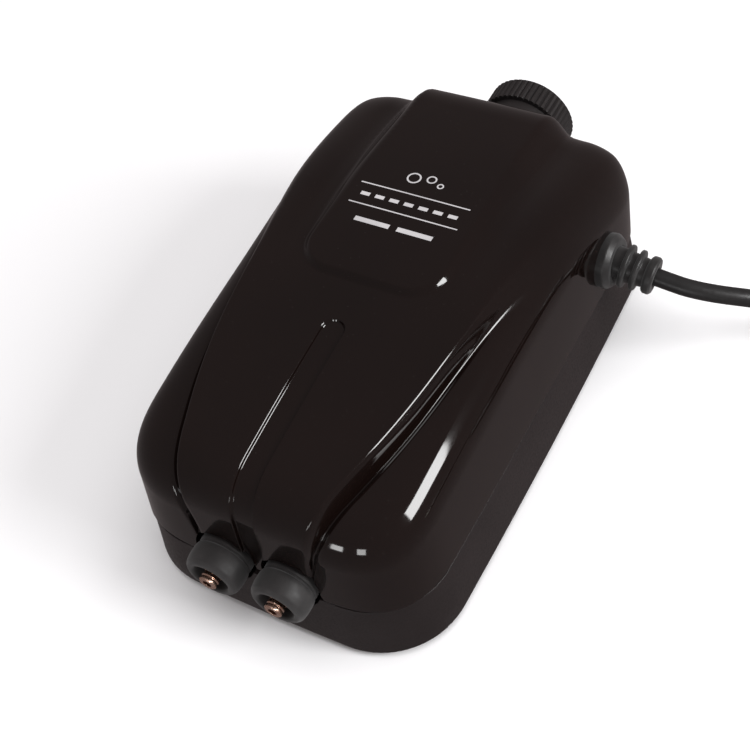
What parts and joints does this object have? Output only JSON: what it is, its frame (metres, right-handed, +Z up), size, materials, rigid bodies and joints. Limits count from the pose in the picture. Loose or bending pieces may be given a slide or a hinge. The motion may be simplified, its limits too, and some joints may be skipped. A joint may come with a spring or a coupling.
{
  "type": "aquarium air pump",
  "caption": "Mains diaphragm air pump for aquaria: rounded gloss shell on a housing with feet, air outlets in rubber collars, flow knob and mains cord.",
  "frame": {"origin": "on the floor under the middle of the pump's whole length, from outlet tips to knob", "axes": "+Z up, -Y towards the air outlets, +Y towards the flow knob, +X towards the side the cord leaves from"},
  "size_m": [0.2689, 0.1862, 0.0636],
  "materials": {
    "shell_gloss_black": "high gloss, near-black with a brown cast",
    "housing_satin_black": "satin",
    "foot_rubber": "matte",
    "zinc_screw": "zinc plated",
    "filter_felt": "needled felt",
    "print_silver": "printed silver",
    "inner_plastic": "moulded, satin",
    "nozzle_brass": "rose-tinted brass, bright",
    "collar_rubber": "matte, slightly dusty",
    "hose_silicone": "translucent silicone",
    "core_steel": "varnished laminations",
    "bobbin_nylon": "natural nylon",
    "enamelled_wire": "copper wire, enamelled",
    "coil_tape": "yellow polyester tape",
    "bracket_steel": "plated sheet",
    "pin_steel": "ground",
    "knob_plastic": "satin, knurled",
    "gland_rubber": "matte",
    "lead_wire": "insulated",
    "cord_pvc": "satin PVC",
    "tie_black": "coated tie",
    "plug_pvc": "satin PVC",
    "plug_pin_metal": "nickel-plated",
    "arm_nylon": "glass-filled nylon",
    "magnet_ferrite": "sintered ferrite",
    "clamp_aluminium": "turned",
    "diaphragm_rubber": "matte"
  },
  "bodies": {
    "case": {"upper_shell": "shell_gloss_black", "lower_housing": "housing_satin_black", "rubber_feet": "foot_rubber", "case_screws": "zinc_screw", "filter_cover": "housing_satin_black", "filter_felt": "filter_felt", "label_rules": "print_silver", "manifold": "inner_plastic", "manifold_screws": "zinc_screw", "nozzle_left": "nozzle_brass", "nozzle_right": "nozzle_brass", "collar_left": "collar_rubber", "collar_right": "collar_rubber", "air_hose_left": "hose_silicone", "air_hose_right": "hose_silicone", "bleed_hose": "hose_silicone", "laminated_core": "core_steel", "bobbin": "bobbin_nylon", "coil_winding": "enamelled_wire", "coil_tape": "coil_tape", "core_bracket": "bracket_steel", "bracket_screws": "zinc_screw", "pivot_pins": "pin_steel", "pivot_clips": "pin_steel", "head_screws": "zinc_screw", "valve_body": "inner_plastic", "valve_nut": "knob_plastic", "gland": "gland_rubber", "lead_wires": "lead_wire", "cord_lead": "cord_pvc", "cord_tail": "cord_pvc", "cord_ring": "cord_pvc", "cord_tie": "tie_black", "plug_body": "plug_pvc", "plug_pins": "plug_pin_metal", "diaphragm_left": "diaphragm_rubber", "clamp_ring_left": "clamp_aluminium", "valve_box_left": "inner_plastic", "valve_flaps_left": "diaphragm_rubber", "valve_cover_left": "inner_plastic", "cover_screws_left": "zinc_screw", "diaphragm_right": "diaphragm_rubber", "clamp_ring_right": "clamp_aluminium", "valve_box_right": "inner_plastic", "valve_flaps_right": "diaphragm_rubber", "valve_cover_right": "inner_plastic", "cover_screws_right": "zinc_screw"},
    "knob": {"knob": "knob_plastic", "spindle": "nozzle_brass"},
    "arm_left": {"arm_left": "arm_nylon", "magnet_left": "magnet_ferrite", "diaphragm_screw_left": "zinc_screw", "clamp_discs_left": "clamp_aluminium"},
    "arm_right": {"arm_right": "arm_nylon", "magnet_right": "magnet_ferrite", "diaphragm_screw_right": "zinc_screw", "clamp_discs_right": "clamp_aluminium"}
  },
  "joints": [
    {"name": "knob_turn", "type": "hinge", "parent": "case", "child": "knob", "pos_m": [0, 0.08455, 0.0303], "axis": [0, 1, 0], "range_deg": [0, 270]},
    {"name": "arm_left_swing", "type": "hinge", "parent": "case", "child": "arm_left", "pos_m": [-0.0255, -0.03945, 0.027], "axis": [0, 0, 1], "range_deg": [-1.5, 1.5], "stiffness_Nm_per_rad": 0.8, "deforming": ["diaphragm_left"]},
    {"name": "arm_right_swing", "type": "hinge", "parent": "case", "child": "arm_right", "pos_m": [0.0255, -0.03945, 0.027], "axis": [0, 0, 1], "range_deg": [-1.5, 1.5], "stiffness_Nm_per_rad": 0.8, "deforming": ["diaphragm_right"]}
  ],
  "couplings": [
    {"joint": "arm_right_swing", "follows": "arm_left_swing", "ratio": -1}
  ]
}
